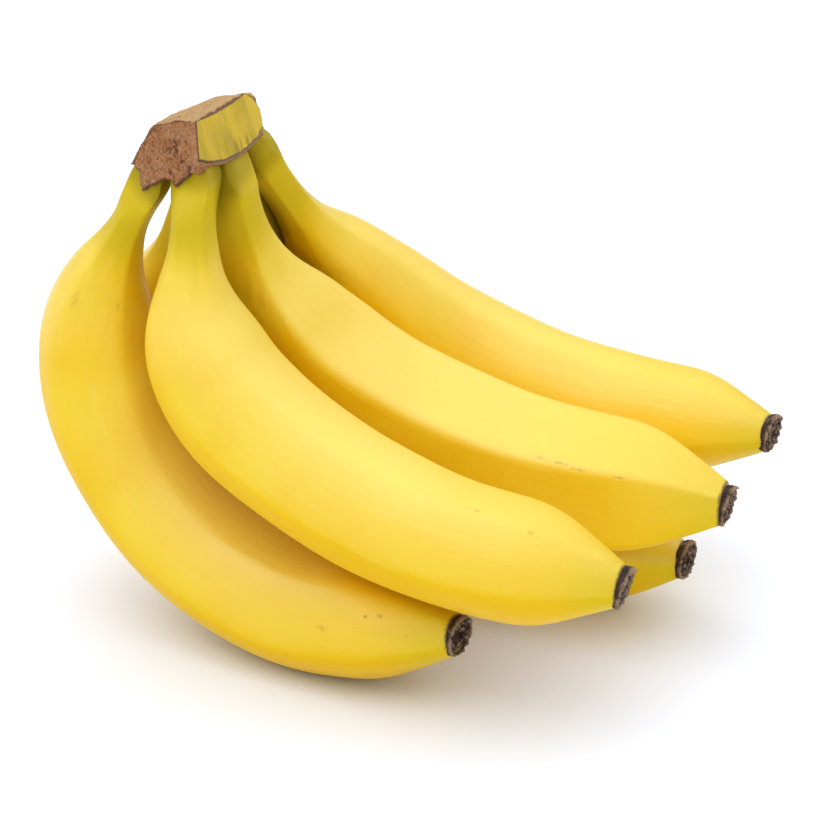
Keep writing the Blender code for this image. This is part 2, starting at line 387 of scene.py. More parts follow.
def middle_line(fruit, distance):
    """The middle line at each distance, as x, y and heading in the banana's own plane."""
    fine = np.linspace(0.0, fruit.length, 801)
    along = (fine - fruit.neck) / (fruit.length - fruit.neck)
    heading = np.radians(fruit.shoulder_bend * smoothstep(along / SHOULDER_END)
                         + fruit.body_bend * np.clip(along / BEND_END, 0.0, 1.0))
    halfway = (heading[1:] + heading[:-1]) / 2
    x = np.concatenate([[0.0], np.cumsum(np.cos(halfway))]) * fine[1]
    y = np.concatenate([[0.0], np.cumsum(np.sin(halfway))]) * fine[1]
    x = np.interp(distance, fine, x) + np.minimum(distance, 0.0)  # straight on up inside the crown
    return x, np.interp(distance, fine, y), np.interp(distance, fine, heading)


def banana_plane(fruit):
    """Where the banana's own plane lies: +X down the neck, +Y towards the side it curves to."""
    compass, lean = math.radians(fruit.neck_compass), math.radians(fruit.neck_lean)
    side = math.radians(fruit.bend_compass)
    down = Vector((math.sin(lean) * math.cos(compass), math.sin(lean) * math.sin(compass), -math.cos(lean)))
    inward = Vector((math.cos(side), math.sin(side), 0.0))
    inward = (inward - down * inward.dot(down)).normalized()
    across = down.cross(inward)
    turned = Matrix((down, inward, across)).transposed().to_4x4()
    return Matrix.Translation((Vector(fruit.root) - MIDDLE) * MM) @ turned


def ridged_section(angle, turn, depth, sharpness):
    """The skin's distance from the middle line, as a share of the radius: soft ridges, flatter sides."""
    total = np.zeros_like(angle)
    for k in range(RIDGES):
        side = turn + (k + 0.5) * 2 * math.pi / RIDGES
        total += np.clip(np.cos(angle - side), 0.0, None) ** sharpness
    return 1.0 + depth * (total ** (-1.0 / sharpness) - RIDGE_LEVEL)


def tucked_under(points, distance):
    """Press the top of a neck in behind the crown's flat sides, easing off down the neck."""
    for face in (TORN_FACE, SKIN_FACE):
        facing = np.array(face_axes(face)[0])
        in_front = (points - np.array(face_middle(face))) @ facing
        pressed = np.clip(in_front + NECK_COVER * MM, 0.0, None)
        pressed = pressed * (1.0 - smoothstep(distance, *NECK_COVER_END))
        points = points - facing * pressed[:, None]
    return points


def crowding(fruit, points):
    """How close each point lies to the other bananas: 1 where they touch, 0 from some millimetres away."""
    nearest = np.full(len(points), 1.0)
    for other in BANANAS:
        if other is fruit:
            continue
        distance = np.arange(0.0, other.length, 3.0)
        x, y, _ = middle_line(other, distance)
        flat = np.stack([x * MM, y * MM, np.zeros_like(x), np.ones_like(x)], axis=1)
        line = flat @ np.array(banana_plane(other)).T
        gap = np.linalg.norm(points[:, None] - line[None, :, :3], axis=2) - radius_at(other, distance) * MM
        nearest = np.minimum(nearest, gap.min(axis=1))
    return 1.0 - smoothstep(nearest, CROWDED[0] * MM, CROWDED[1] * MM)


def ringed_rod(name, sides, rings):
    """A closed rod of unit length and radius along +X, cut into rings."""
    clear_selection()
    bpy.ops.mesh.primitive_cylinder_add(vertices=sides, radius=1.0, depth=1.0, end_fill_type="NGON",
                                        location=(0.5, 0.0, 0.0), rotation=(0.0, math.pi / 2, 0.0))
    rod = named_primitive(name)
    bpy.ops.object.transform_apply(location=True, rotation=True, scale=True)
    long_pieces = 8
    with edit_mode(rod):
        for pieces in (long_pieces, rings // long_pieces):
            select_where(rod, "EDGE", lambda edge: abs(edge.verts[0].co.x - edge.verts[1].co.x) > 0.001)
            bpy.ops.mesh.subdivide(number_cuts=pieces - 1)
    return rod


def build_peel(fruit, settings, seed):
    """One banana's peel: a ringed rod that is given its girth and ridges and bent along its middle line."""
    peel = ringed_rod("peel_" + fruit.name, settings.sides, settings.rings)
    rod = read_points(peel.data)
    angle = np.arctan2(rod[:, 2], rod[:, 1])
    tuck = settings.tuck / MM
    distance = rod[:, 0] * (fruit.length + tuck) - tuck
    body_share = (distance - fruit.neck) / (fruit.length - fruit.neck)
    body_share = np.where(distance < fruit.neck, distance / fruit.neck - 1.0, body_share)

    turn = np.radians(fruit.ridge_turn + fruit.ridge_twist * np.clip(body_share, 0.0, 1.0))
    on_neck = smoothstep(-body_share, -0.15, 0.35)
    depth = fruit.ridge_depth * (1.0 - on_neck) + NECK_RIDGE_DEPTH * on_neck
    section = ridged_section(angle, turn, depth, fruit.ridge_sharpness * (1.0 + on_neck))
    radius = radius_at(fruit, distance) * section
    flare = settings.neck_flare * bell(distance, FLARE_REACH)
    radius *= 1.0 + flare - TUCK_TAPER * smoothstep(-distance, 0.0, tuck)
    swell = np.stack([distance / 30.0, np.cos(angle), np.sin(angle)], axis=1)
    radius += noise_at(swell, 1.1, seed) * settings.lumps / MM * smoothstep(radius, 4.0, 14.0) * 2.0

    x, y, heading = middle_line(fruit, distance)
    inward, across = radius * np.cos(angle), radius * np.sin(angle)
    bent = np.stack([x - np.sin(heading) * inward, y + np.cos(heading) * inward, across], axis=1)
    write_points(peel.data, bent * MM)
    peel.data.transform(banana_plane(fruit))
    write_points(peel.data, tucked_under(read_points(peel.data), distance))
    keep_attributes(peel.data, straight=np.stack([distance, inward, across], axis=1) * MM,
                    body_share=body_share, crowding=crowding(fruit, read_points(peel.data)),
                    upward=read_normals(peel.data)[:, 2])
    return peel


# ---- the crown ----

def outline_plate(name, face, thickness, lowered=0.0, set_back=0.0):
    """A plate with the flat side's outline, its front on that side's plane or set back from it."""
    facing, right, up = face_axes(face)
    clear_selection()
    bpy.ops.mesh.primitive_circle_add(vertices=len(face.outline), radius=0.01, fill_type="NGON")
    plate = named_primitive(name)
    middle = face_middle(face) - facing * set_back - Vector((0.0, 0.0, lowered))
    for vertex, (to_right, to_top) in zip(plate.data.vertices, reversed(face.outline)):
        vertex.co = middle + (right * to_right + up * to_top) * MM
    with edit_mode(plate):
        bpy.ops.mesh.extrude_region_move(TRANSFORM_OT_translate={"value": -facing * thickness})
        bpy.ops.mesh.select_all(action="SELECT")
        bpy.ops.mesh.normals_make_consistent(inside=False)
    return plate


def stub_between(name, start, end, start_radius, end_radius):
    """A thick rod between two places of the tables."""
    start, end = ((Vector(place) - MIDDLE) * MM for place in (start, end))
    clear_selection()
    bpy.ops.mesh.primitive_cone_add(vertices=48, radius1=start_radius * MM, radius2=end_radius * MM,
                                    depth=(end - start).length, location=(start + end) / 2,
                                    rotation=(end - start).to_track_quat("Z", "Y").to_euler())
    stub = named_primitive(name)
    bpy.ops.object.transform_apply(location=True, rotation=True, scale=True)
    return stub


def slice_off(block, point, facing):
    """Cut the block flat and drop what lies in front of the plane."""
    with edit_mode(block):
        bpy.ops.mesh.bisect(plane_co=point, plane_no=facing, use_fill=True, clear_outer=True)


def merged_copy(node, name):
    """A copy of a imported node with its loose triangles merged."""
    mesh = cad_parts[node].data.copy()
    mesh.name = name
    mesh.materials.clear()
    copy = bpy.data.objects.new(name, mesh)
    bpy.context.scene.collection.objects.link(copy)
    with edit_mode(copy):
        bpy.ops.mesh.remove_doubles(threshold=0.00001)
    return copy


def join_pieces(first, others):
    """Join the others into the first."""
    make_active(first)
    for other in others:
        other.select_set(True)
    bpy.ops.object.join()
    return first


def outline_distance(points, outline):
    """How far inside the outline each point lies, in the outline's own units; negative outside."""
    corners = np.array(outline, float)
    inside = np.zeros(len(points), bool)
    nearest = np.full(len(points), 1e9)
    for start, end in zip(corners, np.roll(corners, -1, axis=0)):
        along = end - start
        share = np.clip((points - start) @ along / (along @ along), 0.0, 1.0)
        nearest = np.minimum(nearest, np.linalg.norm(points - start - share[:, None] * along, axis=1))
        crosses = (points[:, 1] < start[1]) != (points[:, 1] < end[1])
        rise = end[1] - start[1] if end[1] != start[1] else 1e-9
        inside ^= crosses & (points[:, 0] < start[0] + (points[:, 1] - start[1]) / rise * along[0])
    return np.where(inside, nearest, -nearest)


def on_face(face, points):
    """The points seen square on to a flat side, in millimetres: right, up and out."""
    facing, right, up = (np.array(axis) for axis in face_axes(face))
    away = (points - np.array(face_middle(face))) / MM
    return np.stack([away @ right, away @ up], axis=1), away @ facing


def build_crown(settings):
    """The crown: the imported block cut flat, remeshed into one with its plates and stubs and then carved."""
    crown = merged_copy("crown", "crown_block")
    for face in (TORN_FACE, SKIN_FACE):
        facing = face_axes(face)[0]
        slice_off(crown, face_middle(face) - facing * SLICE_BEHIND * MM, facing)
    for face, drop in UNDERCUTS:
        facing, _, up = face_axes(face)
        slice_off(crown, face_middle(face) - up * drop * MM, facing * 0.6 - Vector((0.0, 0.0, 0.8)))
    for end in CROWN_ENDS:
        slice_off(crown, face_middle(end), face_axes(end)[0])
    plates = [
        outline_plate("torn_plate", TORN_FACE, settings.lip),
        outline_plate("skin_plate", SKIN_FACE, settings.lip * 1.6),
        outline_plate("under_lip", SKIN_FACE, settings.lip * 1.6, *UNDER_LIP_SHIFT),
    ]
    plates += [stub_between(name, *ends) for name, ends in CROWN_STUBS.items()]
    join_pieces(crown, plates)
    apply_modifier(crown, "REMESH", mode="VOXEL", voxel_size=settings.voxel, use_smooth_shade=True)
    apply_modifier(crown, "SMOOTH", factor=0.5, iterations=3)
    points = read_points(crown.data)
    rounded = points[:, 2] < BACK_TOP * MM
    for face in (TORN_FACE, SKIN_FACE):
        rounded &= on_face(face, points)[1] < BACK_DEPTH
    crown.vertex_groups.new(name="back").add(np.flatnonzero(rounded).tolist(), 1.0, "REPLACE")
    apply_modifier(crown, "SMOOTH", factor=0.5, iterations=BACK_ROUNDING, vertex_group="back")
    carve_crown(crown, settings)
    return crown


def crown_zones(points, normals):
    """Where the crown's finishes lie: whole skin, torn side, cut face, dried rim and under the lip."""
    torn_at, torn_out = on_face(TORN_FACE, points)
    skin_at, skin_out = on_face(SKIN_FACE, points)
    torn_in = outline_distance(torn_at, TORN_FACE.outline)
    skin_in = outline_distance(skin_at, SKIN_FACE.outline)
    faces_skin = normals @ np.array(face_axes(SKIN_FACE)[0])
    up = normals[:, 2]

    on_skin = smoothstep(skin_in, -0.2, 0.4) * smoothstep(skin_out, -1.2, -0.6)
    on_skin = on_skin * smoothstep(faces_skin, 0.2, 0.6)
    cut = smoothstep(up, 0.70, 0.86) * smoothstep(points[:, 2] / MM, 160.0, 163.0)
    torn = smoothstep(torn_out, -4.5, -2.5) * (1.0 - on_skin) * (1.0 - cut)
    under_lip = smoothstep(-skin_in, 0.1, 0.6) * smoothstep(skin_out, -3.6, -2.4) * (up < 0.5)
    rim = bell(skin_in, 0.42) * smoothstep(skin_out, -1.9, -1.1) * smoothstep(faces_skin, -0.1, 0.4)
    rim += bell(torn_in, 0.55) * torn * smoothstep(-torn_at[:, 0], -8.5, -6.5)
    rim += bell(skin_out + 0.4, 0.7) * cut + bell(torn_out + 0.2, 0.5) * cut
    return on_skin, torn, cut, rim, under_lip


def carve_crown(crown, settings):
    """Raise the torn fibres, roughen the cut face and store where each finish lies."""
    points = read_points(crown.data)
    normals = read_normals(crown.data)
    torn_at, _ = on_face(TORN_FACE, points)
    skin_at, skin_out = on_face(SKIN_FACE, points)
    on_skin, torn, cut, rim, under_lip = crown_zones(points, normals)

    warp = np.stack([noise_at(points, 170.0, seed) for seed in (3, 4, 5)], axis=1)
    curl = np.stack([noise_at(points, 520.0, seed) for seed in (13, 14, 15)], axis=1)
    swirled = points + warp * 0.0030 + curl * 0.0009
    strands = (1.0 - np.abs(noise_at(swirled * (1.0, 1.0, 0.6), 780.0, 6))) ** 2
    fine = (1.0 - np.abs(noise_at(swirled, 1300.0, 7))) ** 2
    relief = 0.6 * strands + 0.4 * fine
    pits = sum(bell(np.linalg.norm(torn_at - place, axis=1), width) for *place, width in TORN_PITS)
    lift = torn * ((relief - 0.65) * settings.fibre_height - np.clip(pits, 0.0, 1.2) * PIT_DEPTH)
    grain = noise_at(points * (1.0, 1.0, 0.2), 420.0, 8)
    cracks = (1.0 - np.abs(noise_at(swirled, 260.0, 9))) ** 8
    lift += cut * (grain * GRAIN_HEIGHT - cracks * CRACK_DEPTH)
    wrinkle = np.sin(skin_at[:, 0] * 1.6 + 2.0 * noise_at(points, 150.0, 10))
    near_bottom = smoothstep(-skin_at[:, 1], 0.5, 5.5) * on_skin
    lift += wrinkle * near_bottom * WRINKLE_HEIGHT
    lift += noise_at(points, 160.0, 11) * on_skin * SWELL_HEIGHT
    write_points(crown.data, points + normals * lift[:, None])
    # relief, with the pits taken off, also sets the painted shade in the fibres' hollows
    keep_attributes(crown.data, torn=torn, cut=cut, edge=np.clip(rim, 0.0, 1.0), lip=under_lip,
                    relief=np.clip(relief - pits * 0.6, 0.0, 1.0),
                    on_skin=np.stack([skin_at[:, 0], skin_at[:, 1], skin_out], axis=1) * MM)


# ---- the flower ends ----

# A flower end from its foot over the rim and the inner folds to its middle: distance from its axis, as a
# share of its radius, and height above the tip in millimetres.
FLOWER_PROFILE = (
    (0.95, -1.8), (0.99, -0.6), (1.02, 0.1), (1.01, 0.6), (0.96, 0.9), (0.89, 0.8), (0.83, 0.3), (0.76, 0.1),
    (0.70, 0.5), (0.64, 0.8), (0.58, 0.5), (0.52, 0.1), (0.45, 0.5), (0.38, 0.9), (0.31, 0.8), (0.24, 0.2),
    (0.16, -0.5), (0.03, -0.7))
FLOWER_FOOT = (0.80, -2.8)  # the bottom of the foot, inside the banana's tip
FLOWER_RADIUS = 6.1
FLOWER_TILT = 0.18  # how far its axis droops from the banana's
FLOWER_LIFT = 0.8  # how far its rim's foot stands off the tip
FLOWER_RINGS = 45
FLOWER_INSET = 0.95  # how much of the drum's top those rings cross
HOOK_WIDTH = 0.30  # radians of the rim that the hooked nub takes up
HOOK_WAY = (0.55, -0.1, 1.0)  # the side of the rim that has the nub


def build_flower_form(settings):
    """A drum of unit radius standing on the origin, its top face inset into many rings."""
    clear_selection()
    bpy.ops.mesh.primitive_cylinder_add(vertices=settings.sides, radius=1.0, depth=1.0,
                                        end_fill_type="NGON", location=(0.0, 0.0, 0.5))
    form = named_primitive("flower_form")
    bpy.ops.object.transform_apply(location=True, rotation=True, scale=True)
    with edit_mode(form):
        select_where(form, "FACE", lambda face: face.normal.z > 0.9)
        for _ in range(FLOWER_RINGS):
            bpy.ops.mesh.inset(thickness=FLOWER_INSET / FLOWER_RINGS)
        bpy.ops.mesh.poke()
    return form


def flower_seat(fruit):
    """Where a flower end sits on the banana's tip: +Z out along its axis, +X towards its hooked nub."""
    x, y, heading = (value[0] for value in middle_line(fruit, np.array([fruit.length])))
    plane = banana_plane(fruit)
    axis = (plane.to_3x3() @ Vector((math.cos(heading), math.sin(heading), 0.0))).normalized()
    hook_way = Vector(HOOK_WAY)
    axis = (axis - (hook_way - axis * hook_way.dot(axis)).normalized() * FLOWER_TILT).normalized()
    seat = plane @ (Vector((x, y, 0.0)) * MM) + axis * FLOWER_LIFT * MM
    hook_way = (hook_way - axis * hook_way.dot(axis)).normalized()
    turned = Matrix((hook_way, axis.cross(hook_way), axis)).transposed().to_4x4()
    return Matrix.Translation(seat) @ turned


def shape_flower_end(piece, fruit, settings, seed):
    """Give a copy of the drum its rim, its knobs and its hooked nub, and seat it on the banana's tip."""
    drum = read_points(piece.data)
    angle = np.arctan2(drum[:, 1], drum[:, 0])
    from_axis = np.hypot(drum[:, 0], drum[:, 1])
    inward = np.clip((1.0 - from_axis) / FLOWER_INSET, 0.0, 1.0)
    profile = np.array(FLOWER_PROFILE)
    steps = np.linalg.norm(np.diff(profile * (FLOWER_RADIUS, 1.0), axis=0), axis=1)
    lengths = np.concatenate([[0.0], np.cumsum(steps)])
    share = inward * lengths[-1]
    reach = np.interp(share, lengths, profile[:, 0])
    height = np.interp(share, lengths, profile[:, 1])
    foot = drum[:, 2] < 0.5
    reach = np.where(foot, FLOWER_FOOT[0], reach)
    height = np.where(foot, FLOWER_FOOT[1], height)
    reach = np.where(from_axis < 0.001, 0.0, reach)

    rim = bell(reach - 0.97, 0.12) * (height > -1.0)
    folded = smoothstep(1.0 - reach, 0.02, 0.25) * ~foot
    round_rim = np.stack([np.cos(angle), np.sin(angle), inward * 1.5], axis=1)
    knobs = 0.6 * noise_at(round_rim, 2.2, seed) + 0.7 * noise_at(round_rim, 6.0, seed + 1)
    hook = bell(angle - 0.1, HOOK_WIDTH) * bell(reach - 0.95, 0.10)
    side_nub = bell(angle - 2.5, 0.18) * bell(reach - 0.97, 0.08)
    radius = FLOWER_RADIUS * reach
    folds = np.stack([radius * np.cos(angle), radius * np.sin(angle), height], axis=1)
    crumple = noise_at(folds, 0.55, seed + 2) + 0.8 * noise_at(folds, 1.3, seed + 3)
    strands = (1.0 - np.abs(noise_at(round_rim * (2.2, 2.2, 1.0), 1.6, seed + 4))) ** 4
    radius = radius + knobs * rim * settings.knobs / MM + hook * 0.7 + side_nub * 0.5
    radius = radius + crumple * 0.45 * folded * smoothstep(reach, 0.05, 0.3)
    height = height + knobs * rim * 0.6 + hook * 1.2 + side_nub * 0.3
    height = height + crumple * 0.45 * np.clip(folded + rim, 0.0, 1.0) - strands * folded * 0.5
    shaped = np.stack([radius * np.cos(angle), radius * np.sin(angle), height], axis=1)
    write_points(piece.data, shaped * MM)
    # relief, low in the folds and high on the rim, sets the painted shade and highlight
    relief = 0.40 + 0.45 * np.clip(height, -0.3, 1.5) + 0.30 * crumple - 0.4 * strands * folded
    keep_attributes(piece.data, relief=np.clip(relief, 0.0, 1.0))
    piece.data.transform(flower_seat(fruit))
    return piece


# ---- materials ----

class NodeTree:
    """A new material's nodes, added and joined one call at a time."""

    def __init__(self, name):
        self.material = bpy.data.materials.new(name)
        self.material.use_nodes = True
        self.tree = self.material.node_tree
        self.shader = self.tree.nodes["Principled BSDF"]

    def add(self, kind, inputs=None, **settings):
        """Add a node, set it up and feed its inputs from numbers, colours or other nodes."""
        node = self.tree.nodes.new(kind)
        for key, value in settings.items():
            setattr(node, key, value)
        for key, value in (inputs or {}).items():
            self.feed(node.inputs[key], value)
        return node

    def feed(self, socket, value):
        """Give a socket a constant or another node's output."""
        if isinstance(value, bpy.types.NodeSocket):
            self.tree.links.new(value, socket)
        elif socket.type == "RGBA" and len(value) == 3:
            socket.default_value = (*value, 1.0)
        else:
            socket.default_value = value

    def attribute(self, name, output="Fac"):
        """A number or vector that is stored at the piece's points."""
        return self.add("ShaderNodeAttribute", attribute_name=name).outputs[output]

    def place(self):
        """Where a point of the object is."""
        return self.add("ShaderNodeTexCoord").outputs["Object"]

    def mapped(self, vector, shift=(0, 0, 0), turn=(0, 0, 0), scale=(1, 1, 1)):
        """Coordinates that are moved, turned and stretched."""
        return self.add("ShaderNodeMapping", {"Vector": vector, "Location": shift, "Rotation": turn,
                                              "Scale": scale}).outputs[0]

    def noise(self, vector, scale, detail=2.0, roughness=0.5, distortion=0.0):
        """Smooth noise round a half."""
        inputs = {"Vector": vector, "Scale": scale, "Detail": detail, "Roughness": roughness,
                  "Distortion": distortion}
        return self.add("ShaderNodeTexNoise", inputs).outputs["Fac"]

    def times(self, first, second, plus=0.0):
        """Two values multiplied, and a third added."""
        node = self.add("ShaderNodeMath", operation="MULTIPLY_ADD")
        for socket, value in zip(node.inputs, (first, second, plus)):
            self.feed(socket, value)
        return node.outputs[0]

    def part(self, vector, axis):
        """One number of a vector."""
        return self.add("ShaderNodeSeparateXYZ", {0: vector}).outputs[axis]

    def rise(self, value, start, end, low=0.0, high=1.0):
        """A smooth change from low to high as the value goes from start to end."""
        inputs = {"Value": value, "From Min": start, "From Max": end, "To Min": low, "To Max": high}
        return self.add("ShaderNodeMapRange", inputs, interpolation_type="SMOOTHSTEP").outputs[0]

    def layers(self, colour, *laid_over):
        """A colour with others laid over it in turn, each with the share of the surface that it covers."""
        for share, shade in laid_over:
            node = self.add("ShaderNodeMix", {0: share, 6: colour, 7: shade}, data_type="RGBA")
            colour = node.outputs[2]
        return colour

    def bump(self, height, strength, distance):
        """A fine relief that only the shading shows."""
        return self.add("ShaderNodeBump", {"Height": height, "Strength": strength,
                                           "Distance": distance}).outputs[0]

    def near(self, vector, centre, reach, ragged):
        """1 at a centre, 0 past its reach, with an edge that a noise makes ragged."""
        away = self.add("ShaderNodeVectorMath", {0: vector, 1: centre}, operation="DISTANCE")
        away = self.times(ragged, reach * 1.6, away.outputs["Value"])
        return self.rise(away, reach * 1.6, reach * 0.7)

    def finish(self, piece, **shader_inputs):
        """Feed the shader and give the piece this material."""
        for key, value in shader_inputs.items():
            self.feed(self.shader.inputs[key.replace("_", " ")], value)
        piece.data.materials.clear()
        piece.data.materials.append(self.material)


def paint_peel(peel, settings, number):
    """Ripe peel: slow patches, streaks along the fruit, a green neck, a tinge at the tip and specks, with
    painted highlight on the upper sides and painted shade on the undersides, towards the tips, where bananas
    crowd and under the crown.
    """
    tree = NodeTree(peel.name)
    straight = tree.attribute("straight", "Vector")
    share = tree.attribute("body_share")
    upward = tree.attribute("upward")
    crowding = tree.attribute("crowding")
    own = tree.mapped(straight, shift=(number * 0.37, number * 0.11, 0.0))
    along = tree.mapped(own, scale=(0.07, 1.0, 1.0))
    patches = tree.noise(own, 34.0, 3.0)
    streaks = tree.noise(along, 420.0, 3.0, 0.6)
    fine = tree.noise(own, 900.0, 2.0)
    wobble = tree.times(tree.noise(along, 260.0, 2.0), 0.30, -0.15)
    wavering = tree.times(share, 1.0, wobble)
    # where necks crowd together, for the painted shade in their crevices
    crevice_painted_shade = tree.times(tree.rise(crowding, 0.40, 1.0), tree.rise(wavering, 0.30, -0.15))

    colour = tree.layers(
        settings.ripe,
        (tree.rise(patches, 0.35, 0.68), settings.ripe_deep),
        (tree.rise(streaks, 0.54, 0.74, 0.0, 0.55), PALE_LINE),
        # painted highlight: paler where the surface faces up
        (tree.rise(upward, -0.2, 0.8, 0.0, 0.8), settings.ripe_painted_highlight),
        # painted shade: deeper gold towards the tip
        (tree.rise(share, 0.45, 0.92, 0.0, 0.7), TIP_GOLD_PAINTED_SHADE),
        # painted shade: deeper gold where the surface faces down
        (tree.rise(upward, 0.25, -0.55, 0.0, 0.85), settings.ripe_painted_underside_shade),
        # painted shade where the other bananas are near
        (tree.rise(crowding, 0.35, 0.95, 0.0, 0.8), settings.ripe_painted_crowd_shade),
        (tree.rise(wavering, 0.16, -0.50), settings.neck_green),
        # painted shade in the crevices between necks
        (tree.times(crevice_painted_shade, 0.75), settings.neck_painted_shade),
        # painted shade at the neck's top, under the crown
        (tree.rise(share, -0.78, -1.0, 0.0, 0.45), settings.neck_painted_shade),
        (tree.rise(tree.times(wobble, 0.15, share), 0.88, 1.01, 0.0, 0.8), settings.tip_green),
    )
    for mark in MARKS:
        if peel.name == "peel_" + mark.banana:
            stretch = (mark.width / mark.length, 1.0, 1.0)
            centre = [part * MM * by for part, by in zip((mark.along, mark.inward, mark.across), stretch)]
            spot = tree.near(tree.mapped(straight, scale=stretch), centre, mark.width * MM, fine)
            colour = tree.layers(colour, (tree.times(spot, mark.strength), settings.spot_brown))
    stretched = tree.mapped(own, scale=(0.6, 1.0, 1.0))
    cells = tree.add("ShaderNodeTexVoronoi", {"Vector": stretched, "Scale": 160.0}).outputs["Distance"]
    rare = tree.rise(tree.noise(own, 75.0, 1.0), 0.60, 0.70)
    specks = tree.times(tree.rise(cells, 0.09, 0.03, 0.0, 0.30), rare)
    scorched = tree.rise(tree.times(fine, 0.006, share), 0.998, 1.003, 0.0, 0.8)
    colour = tree.layers(colour, (specks, settings.spot_brown), (scorched, SCORCH))

    gloss = tree.rise(patches, 0.3, 0.7, 0.40, 0.48)
    # shine: lower on the matt necks; higher on upper sides and on faces turned straight down, as painted
    # highlight and painted floor reflection; lower where bananas crowd, as painted shade
    shine = tree.times(tree.rise(share, 0.15, -0.35, 0.75, 0.2), tree.rise(upward, -0.2, 0.6, 0.10, 1.0),
                       tree.rise(upward, -0.4, -0.9, 0.0, 0.3))
    shine = tree.times(shine, tree.rise(crowding, 0.25, 0.9, 1.0, 0.25))
    tree.finish(peel, Base_Color=colour, Roughness=gloss, Specular_IOR_Level=shine,
                Subsurface_Weight=0.06, Subsurface_Radius=(1.0, 0.5, 0.08), Subsurface_Scale=0.003,
                Normal=tree.bump(tree.times(fine, 0.35, streaks), 0.45, 0.0004))


def paint_crown(crown, settings):
    """Whole skin, torn fibres, a pale cut face and dried brown edges, each where the shape has it, with
    painted shade in the fibres' hollows and below the lip.
    """
    tree = NodeTree(crown.name)
    place = tree.place()
    torn, cut, edge, lip, relief = map(tree.attribute, ("torn", "cut", "edge", "lip", "relief"))
    on_skin = tree.attribute("on_skin", "Vector")
    broad = tree.noise(place, 150.0, 3.0, 0.6)
    fine = tree.noise(place, 900.0, 4.0, 0.6)
    curly = tree.noise(place, 480.0, 4.0, 0.6, 2.5)
    upright = tree.noise(tree.mapped(place, scale=(1.0, 1.0, 0.25)), 700.0, 3.0, 0.6)
    slanting = tree.mapped(on_skin, turn=(0.0, 0.0, 0.9), scale=(1.0, 0.35, 1.0))
    shades = tree.noise(slanting, 120.0, 3.0, 0.55)
    creases = tree.noise(tree.mapped(on_skin, scale=(1.0, 0.18, 1.0)), 480.0, 3.0, 0.6)
    low_down = tree.rise(tree.part(on_skin, "Y"), -0.0005, -0.0045)
    creased = tree.times(tree.rise(creases, 0.52, 0.62), low_down)

    skin = tree.layers(
        settings.skin,
        (tree.rise(shades, 0.38, 0.66), SKIN_DARK),
        (tree.rise(shades, 0.40, 0.25, 0.0, 0.8), SKIN_LIGHT),
        (tree.times(creased, 0.65), SKIN_CREASE),
        (lip, tree.layers(LIP_DARK, (tree.rise(fine, 0.35, 0.65), LIP_LIGHT))),
        # lowest on the crown: neck colour on the collars and painted shade under the lip
        (tree.rise(tree.part(place, "Z"), 0.156, 0.149), COLLAR_TONE_AND_SHADE),
    )
    fibres = tree.layers(
        # painted shade in the hollows and pits, the torn colour on the raised fibres
        FIBRE_HOLLOW_SHADE,
        (tree.rise(relief, 0.15, 0.60), settings.torn),
        (tree.rise(broad, 0.42, 0.62, 0.0, 0.7), FIBRE_PALE),
        (tree.rise(curly, 0.50, 0.64, 0.0, 0.7), FIBRE_RUST),
        (tree.rise(curly, 0.46, 0.34, 0.0, 0.85), FIBRE_DARK),
    )
    flesh = tree.layers(
        settings.cut,
        (tree.rise(broad, 0.40, 0.66), FLESH_WARM),
        (tree.rise(upright, 0.56, 0.72, 0.0, 0.8), FLESH_STRAND),
    )
    ragged = tree.times(fine, 0.7, tree.times(edge, 1.0, -0.35))
    dried = tree.rise(ragged, 0.25, 0.8, 0.0, 0.9)
    colour = tree.layers(skin, (cut, flesh), (torn, fibres), (dried, settings.edge))
    rough = tree.rise(tree.times(torn, 1.0, cut), 0.0, 0.8, 0.48, 0.85)
    depth = tree.times(curly, 1.2, tree.times(upright, 0.4, fine))
    tree.finish(crown, Base_Color=colour, Roughness=rough, Specular_IOR_Level=0.35,
                Normal=tree.bump(depth, 0.6, 0.0004))


def paint_flower_ends(pieces, settings):
    """Dried, crumpled brown with painted shade down in the folds and a paler rubbed rim, partly wear and
    partly painted highlight.
    """
    tree = NodeTree("dried_flower")
    place = tree.place()
    fine = tree.noise(place, 1300.0, 4.0, 0.65)
    broad = tree.noise(place, 350.0, 2.0)
    # relief is low in the folds and high on the rim: painted shade below, rubbed wear and painted highlight
    # above
    height = tree.times(fine, 0.5, tree.times(tree.attribute("relief"), 1.0, -0.25))
    colour = tree.layers(
        settings.dark,
        (tree.rise(height, 0.25, 0.85), settings.pale),
        (tree.rise(broad, 0.5, 0.8, 0.0, 0.5), FLOWER_BROWN),
    )
    rough = tree.rise(fine, 0.3, 0.7, 0.62, 0.9)
    normal = tree.bump(tree.times(broad, 0.6, fine), 0.7, 0.0005)
    for piece in pieces:
        tree.finish(piece, Base_Color=colour, Roughness=rough, Specular_IOR_Level=0.35, Normal=normal)


def paint_floor(floor, settings):
    """A pale, matt floor with the faintest mottling."""
    tree = NodeTree(floor.name)
    mottle = tree.rise(tree.noise(tree.place(), 3.0, 2.0), 0.3, 0.7)
    duller = tuple(0.99 * part for part in settings.floor_colour)
    tree.finish(floor, Base_Color=tree.layers(settings.floor_colour, (mottle, duller)), Roughness=0.9,
                Specular_IOR_Level=0.1)


# ---- operators ----

class BUNCH_OT_bananas(bpy.types.Operator):
    """Grow the six peels with their necks"""
    bl_idname = "bunch.bananas"
    bl_label = "Grow bananas"

    def execute(self, context):
        settings = context.scene.bunch_bananas
        for number, fruit in enumerate(BANANAS):
            peel = build_peel(fruit, settings, 20 + number)
            finish_piece(peel, "peel", "banana_" + fruit.name)
            paint_peel(peel, settings, number + 1)
        return {"FINISHED"}


